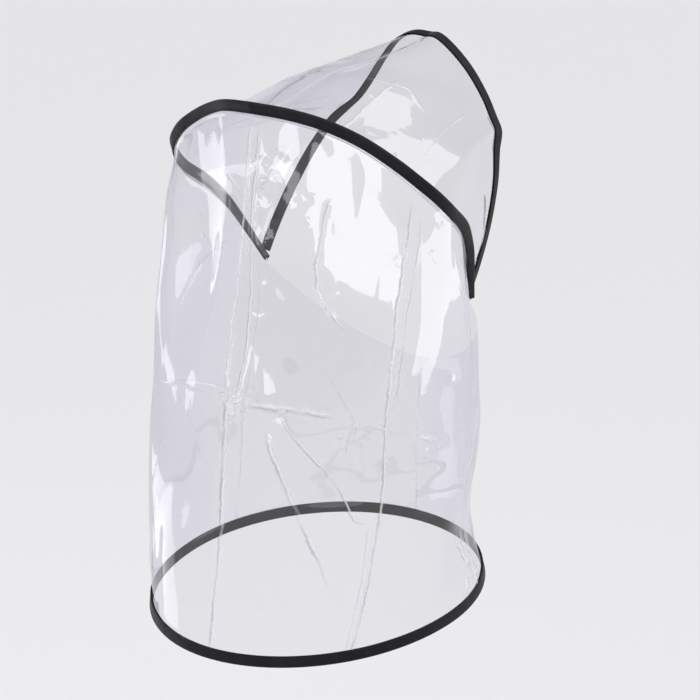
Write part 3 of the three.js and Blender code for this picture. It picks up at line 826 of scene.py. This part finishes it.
# Binding tape: a strip folded over an edge, with its stitches
tapeLook = {
    "slim": 0.00045,         # half the gap between its two sides at their free edges, over one film
    "slimPair": 0.00105,     # and over the seam's two films
    "full": 0.00055,         # how much further out the fold stands than the free edges
    "cloth": 0.0005,
    "across": 36,            # faces across the strip
    "step": 0.0014,          # length of a face along it
    "bend": 0.16,            # share of the strip that goes round the fold
    "groove": 0.00028, "grooveAt": 0.79, "grooveWidth": 0.07,   # where the stitches pull it in
    "rim": 0.00008, "rimWidth": 0.1,
    "pucker": 0.00013, "puckerFrom": 0.35, "puckerRise": 0.4,
    "brimReach": 0.965,      # share of the brim's edge that is bound
    "stitchPitch": 0.0029,
    "stitchLength": 0.0021,
    "stitchThick": 0.00042,
    "stitchInset": 0.0014,   # from the free edge
}


# Where a tape's strip runs in its own section, in metres: v 0 and 1 are its free edges
def tapeSection(v, slim):
    look = tapeLook
    reach = bonnet["tapeWidth"] - bonnet["clearance"] - bonnet["tapeWall"]
    full, bend = slim + look["full"], look["bend"]
    side = np.abs(2 * v - 1)                       # 0 at the fold, 1 at the free edges
    turn = np.clip(side / bend, 0, 1) * math.pi / 2
    run = np.clip((side - bend) / (1 - bend), 0, 1)
    depth = np.where(side < bend, full * (np.cos(turn) - 1) + bonnet["clearance"],
                     bonnet["clearance"] - full - (reach - full) * run)
    groove = np.exp(-((run - look["grooveAt"]) / look["grooveWidth"]) ** 2)
    rim = smooth((run - look["grooveAt"]) / look["rimWidth"])
    height = np.where(side < bend, full * np.sin(turn),
                      full - (full - slim) * smooth(run / look["grooveAt"]))
    height = height - look["groove"] * groove + look["rim"] * rim
    return depth, height * np.sign(2 * v - 1)


def makeTape(name, node, frameAt, length, slim, closed=False, narrowing=None):
    look = tapeLook
    columns = int(round(length / look["step"]))

    def placeAt(u, v):
        foot, _, depth, face = frameAt(u)
        inwards, height = tapeSection(v, slim)
        if narrowing is not None:
            inwards = inwards * narrowing(u)
        puckers = look["pucker"] * np.sin(u * length * 2 * math.pi / look["stitchPitch"])
        puckers *= smooth((np.abs(2 * v - 1) - look["puckerFrom"]) / look["puckerRise"])
        height = height + puckers * np.sign(2 * v - 1)
        return foot + depth * inwards[..., None] + face * height[..., None]

    tape = shapedGrid(name, columns, look["across"], placeAt)
    if closed:
        turnOutwards(tape, join=roundJoin)
    scaleMap(tape, length, 2 * bonnet["tapeWidth"])
    thicken = tape.modifiers.new("cloth", "SOLIDIFY")
    thicken.thickness = look["cloth"]
    thicken.offset = 0
    bpy.context.view_layer.objects.active = tape
    bpy.ops.object.modifier_apply(modifier="cloth")
    stitches = makeStitches(name + "_stitches", frameAt, length, slim, narrowing)
    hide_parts(node)
    return tape, stitches


# UV map in metres, so that the weave keeps one size
def scaleMap(piece, length, width):
    layer = piece.data.uv_layers.active.data
    places = np.empty(len(layer) * 2)
    layer.foreach_get("uv", places)
    layer.foreach_set("uv", (places.reshape(-1, 2) * np.array([length, width])).reshape(-1))


# One stitch is modelled, then laid at every place along both sides of a tape
def makeStitches(name, frameAt, length, slim, narrowing=None):
    look = tapeLook
    bpy.ops.object.select_all(action="DESELECT")
    bpy.ops.mesh.primitive_uv_sphere_add(segments=6, ring_count=5, radius=0.5)
    stitch = bpy.context.object
    bpy.ops.transform.rotate(value=math.pi / 2, orient_axis="Y", center_override=(0, 0, 0))
    bpy.ops.object.transform_apply(location=True, rotation=True, scale=True)
    points = np.array([vertex.co[:] for vertex in stitch.data.vertices])
    points *= np.array([look["stitchLength"], look["stitchThick"], look["stitchThick"]])
    faces = sorted(list(face.vertices) for face in stitch.data.polygons)
    bpy.ops.object.delete()
    count = int(length / look["stitchPitch"])
    u = (np.arange(count) + 0.5) / count
    foot, along, depth, face = frameAt(u)
    inset = bonnet["tapeWidth"] - bonnet["tapeWall"] - bonnet["clearance"] - look["stitchInset"]
    inset = inset * (np.ones(count) if narrowing is None else narrowing(u))
    out = slim + look["cloth"] / 2
    vertices, polygons = [], []
    for hand in (-1, 1):
        for k in range(count):
            middle = foot[k] - depth[k] * inset[k] + face[k] * hand * out
            base = len(vertices)
            turned = middle + points @ np.array([along[k], depth[k], face[k]])
            vertices.extend(turned.tolist())
            polygons.extend([[base + i for i in polygon] for polygon in faces])
    mesh = bpy.data.meshes.new(name)
    mesh.from_pydata(vertices, [], polygons)
    piece = bpy.data.objects.new(name, mesh)
    bpy.context.scene.collection.objects.link(piece)
    turnOutwards(piece)
    bpy.ops.object.shade_smooth()
    piece.select_set(False)
    return piece


def seamTapeFrame(u):
    place = 2 * u - 1
    foot, along, fin, face = seamFrame(place)
    return foot + fin * finHeight(place)[..., None], along, fin, face


def seamNarrowing(u):
    return 1 - bonnet["tapeTaper"] * earTaper(2 * u - 1)


def brimTapeFrame(u):
    return brimFrame((2 * u - 1) * tapeLook["brimReach"])


def hemTapeFrame(u):
    return hemFrame(wrap(2 * u - 1))


seamLength = 2 * seamHalf
brimEnd = tapeLook["brimReach"]
brimLength = reachAlong(brimPoint(np.linspace(-brimEnd, brimEnd, 161)))[-1]
hemLength = 2 * reachAlong(hemLine)[-1]
seamTape, seamStitches = makeTape("seam_tape", "seam_binding", seamTapeFrame, seamLength,
                                  tapeLook["slimPair"], narrowing=seamNarrowing)
brimTape, brimStitches = makeTape("brim_tape", "brim_binding", brimTapeFrame, brimLength,
                                  tapeLook["slim"])
hemTape, hemStitches = makeTape("hem_tape", "hem_binding", hemTapeFrame, hemLength,
                                tapeLook["slim"], closed=True)
print("stage: tapes folded,", len(seamTape.data.polygons), "faces on the seam tape")


def finishPieces(pieces, material):
    for piece in pieces:
        piece.data.materials.clear()
        piece.data.materials.append(material)
        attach(piece, "root")


# Clear film: see-through, glossy, whitened along its creases, with a painted shade line darkening the
# see-through tint beside each crease
filmFinish = {
    "tint": (0.935, 0.93, 0.955, 1),
    "edgeTint": (0.80, 0.785, 0.845, 1),   # where the film is seen edge on, and so thicker
    "edgePower": 2.0,        # how late that tint sets in
    "gloss": (0.95, 0.95, 0.98, 1),
    "roughness": 0.04,
    "straightOn": 0.085,     # share that both faces of the film reflect, seen straight on
    "grazingPower": 5.0,     # how late the reflection grows at a grazing angle
    "creaseWhite": (0.93, 0.93, 0.96, 1),
    "creaseCover": 0.88,
    "whiteWidth": 0.95,      # mm
    # painted shade: a thin line of darker see-through tint beside each crease, standing in for the
    # crease's shaded side
    "paintedShadeAt": 0.85,
    "paintedShadeWidth": 0.8,
    "paintedShadeTint": (0.52, 0.51, 0.58, 1),
    "ridge": 0.00042,        # metres
    "ridgeWidth": 1.5,       # mm
    "jag": 0.5,              # mm
    "jagScale": 420.0,
    "bump": 0.00011,         # metres
    "ripple": 46.0, "rippleRoughness": 0.55,
    "fine": 210.0, "fineShare": 0.12,
    "broken": (0.38, 0.58), "brokenLeast": 0.25,   # where the ripple breaks a crease's white
}


def makeFilmMaterial():
    finish = filmFinish
    film, tree = newMaterial("clearFilm")
    tree.nodes.clear()
    place = addNode(tree, "ShaderNodeTexCoord").outputs["Object"]
    side = addNode(tree, "ShaderNodeAttribute", attribute_name="creaseSide").outputs["Fac"]
    force = addNode(tree, "ShaderNodeAttribute", attribute_name="creaseForce").outputs["Fac"]
    ripple = noiseNode(tree, place, finish["ripple"], 3.0, finish["rippleRoughness"])
    fine = noiseNode(tree, place, finish["fine"], 2.0)
    broken = rangeNode(tree, ripple, *finish["broken"], finish["brokenLeast"], 1.0)
    grit = noiseNode(tree, place, finish["jagScale"], 3.0)
    jag = mathNode(tree, "MULTIPLY", mathNode(tree, "SUBTRACT", grit, 0.5), 2 * finish["jag"])
    side = mathNode(tree, "ADD", side, jag)
    line = lineMask(tree, side, force, 0.0, finish["ridgeWidth"])
    ridge = mathNode(tree, "MULTIPLY", line, finish["ridge"])
    waves = mathNode(tree, "ADD", ripple, mathNode(tree, "MULTIPLY", fine, finish["fineShare"]))
    height = mathNode(tree, "ADD", ridge, mathNode(tree, "MULTIPLY", waves, finish["bump"]))
    relief = addNode(tree, "ShaderNodeBump", {"Height": height, "Strength": 1.0, "Distance": 1.0})
    white = lineMask(tree, side, force, 0.0, finish["whiteWidth"], broken)
    # painted shade line beside each crease, a short way off its white core
    paintedShadeLine = lineMask(tree, side, force, finish["paintedShadeAt"], finish["paintedShadeWidth"], broken)
    facing = addNode(tree, "ShaderNodeLayerWeight", {"Blend": 0.5, "Normal": relief.outputs["Normal"]})
    slant = mathNode(tree, "POWER", facing.outputs["Facing"], finish["edgePower"])
    body = colourMix(tree, slant, finish["tint"], finish["edgeTint"])
    # the see-through tint, darkened along the painted shade line
    see = colourMix(tree, paintedShadeLine, body, finish["paintedShadeTint"])
    clear = addNode(tree, "ShaderNodeBsdfTransparent", {"Color": see})
    shine = addNode(tree, "ShaderNodeBsdfGlossy", {"Color": finish["gloss"],
                                                  "Roughness": finish["roughness"],
                                                  "Normal": relief.outputs["Normal"]})
    grazing = mathNode(tree, "POWER", facing.outputs["Facing"], finish["grazingPower"])
    share = rangeNode(tree, grazing, 0.0, 1.0, finish["straightOn"], 1.0)
    sheet = shaderMix(tree, share, clear, shine)
    milk = addNode(tree, "ShaderNodeBsdfTranslucent", {"Color": finish["creaseWhite"]})
    haze = addNode(tree, "ShaderNodeBsdfDiffuse", {"Color": finish["creaseWhite"]})
    cloudy = shaderMix(tree, 0.5, milk, haze)
    cover = mathNode(tree, "MULTIPLY", white, finish["creaseCover"])
    finished = shaderMix(tree, cover, sheet, cloudy)
    addNode(tree, "ShaderNodeOutputMaterial", {"Surface": finished.outputs[0]})
    return film


# A soft line at some distance (mm) beside a crease, broken up where a pattern is given
def lineMask(tree, side, force, at, width, pattern=None):
    away = mathNode(tree, "ABSOLUTE", mathNode(tree, "SUBTRACT", side, at))
    line = rangeNode(tree, away, 0.0, width, 1.0, 0.0)
    mask = mathNode(tree, "MULTIPLY", line, force, clamp=True)
    if pattern is not None:
        mask = mathNode(tree, "MULTIPLY", mask, pattern, clamp=True)
    return mask


finishPieces((crownFilm, drapeFilm), makeFilmMaterial())
print("stage: film finished")


# Black woven tape with a dull satin face, and its thread
tapeFinish = {
    "colour": (0.0065, 0.0055, 0.0085, 1),
    "worn": (0.017, 0.0155, 0.022, 1),
    "wear": 90.0, "wearFrom": (0.45, 0.75), "wearMost": 0.6,
    "roughness": (0.42, 0.64),
    "specular": 0.18,
    "sheen": 0.06,
    "sheenRoughness": 0.4,
    "ribs": 1500.0,          # ribs a metre along the tape
    "wefts": 0.8,            # ribs across it for each one along it
    "weave": 0.5,            # height of the weave beside the fuzz
    "fuzz": 900.0,
    "bump": 0.00012,
    "bumpStrength": 0.6,
}
threadFinish = {
    "colour": (0.020, 0.018, 0.024, 1),
    "ply": 2200.0,
    "roughness": 0.42,
    "specular": 0.3,
    "bump": 0.0001,
    "bumpStrength": 0.5,
}


def makeTapeMaterial():
    finish = tapeFinish
    cloth, tree = newMaterial("blackTape")
    shader = tree.nodes["Principled BSDF"]
    flat = addNode(tree, "ShaderNodeUVMap").outputs["UV"]
    split = addNode(tree, "ShaderNodeSeparateXYZ", {"Vector": flat})
    turns = finish["ribs"] * 2 * math.pi
    ribs, wefts = (mathNode(tree, "SINE", mathNode(tree, "MULTIPLY", split.outputs[axis], pace))
                   for axis, pace in (("X", turns), ("Y", turns * finish["wefts"])))
    weave = mathNode(tree, "MULTIPLY", ribs, wefts)
    place = addNode(tree, "ShaderNodeTexCoord").outputs["Object"]
    wear = noiseNode(tree, place, finish["wear"], 4.0)
    fuzz = noiseNode(tree, place, finish["fuzz"], 2.0)
    height = mathNode(tree, "ADD", mathNode(tree, "MULTIPLY", weave, finish["weave"]), fuzz)
    relief = addNode(tree, "ShaderNodeBump", {"Height": height, "Strength": finish["bumpStrength"],
                                              "Distance": finish["bump"]})
    share = rangeNode(tree, wear, *finish["wearFrom"], 0.0, finish["wearMost"])
    tone = colourMix(tree, share, finish["colour"], finish["worn"])
    rough = rangeNode(tree, fuzz, 0.0, 1.0, *finish["roughness"])
    tree.links.new(tone, shader.inputs["Base Color"])
    tree.links.new(rough, shader.inputs["Roughness"])
    tree.links.new(relief.outputs["Normal"], shader.inputs["Normal"])
    shader.inputs["Specular IOR Level"].default_value = finish["specular"]
    shader.inputs["Sheen Weight"].default_value = finish["sheen"]
    shader.inputs["Sheen Roughness"].default_value = finish["sheenRoughness"]
    return cloth


def makeThreadMaterial():
    finish = threadFinish
    thread, tree = newMaterial("blackThread")
    shader = tree.nodes["Principled BSDF"]
    place = addNode(tree, "ShaderNodeTexCoord").outputs["Object"]
    ply = noiseNode(tree, place, finish["ply"], 2.0)
    tone = colourMix(tree, ply, tapeFinish["colour"], finish["colour"])
    relief = addNode(tree, "ShaderNodeBump", {"Height": ply, "Strength": finish["bumpStrength"],
                                              "Distance": finish["bump"]})
    tree.links.new(tone, shader.inputs["Base Color"])
    tree.links.new(relief.outputs["Normal"], shader.inputs["Normal"])
    shader.inputs["Roughness"].default_value = finish["roughness"]
    shader.inputs["Specular IOR Level"].default_value = finish["specular"]
    return thread


finishPieces((seamTape, brimTape, hemTape), makeTapeMaterial())
finishPieces((seamStitches, brimStitches, hemStitches), makeThreadMaterial())
print("stage: tapes finished")
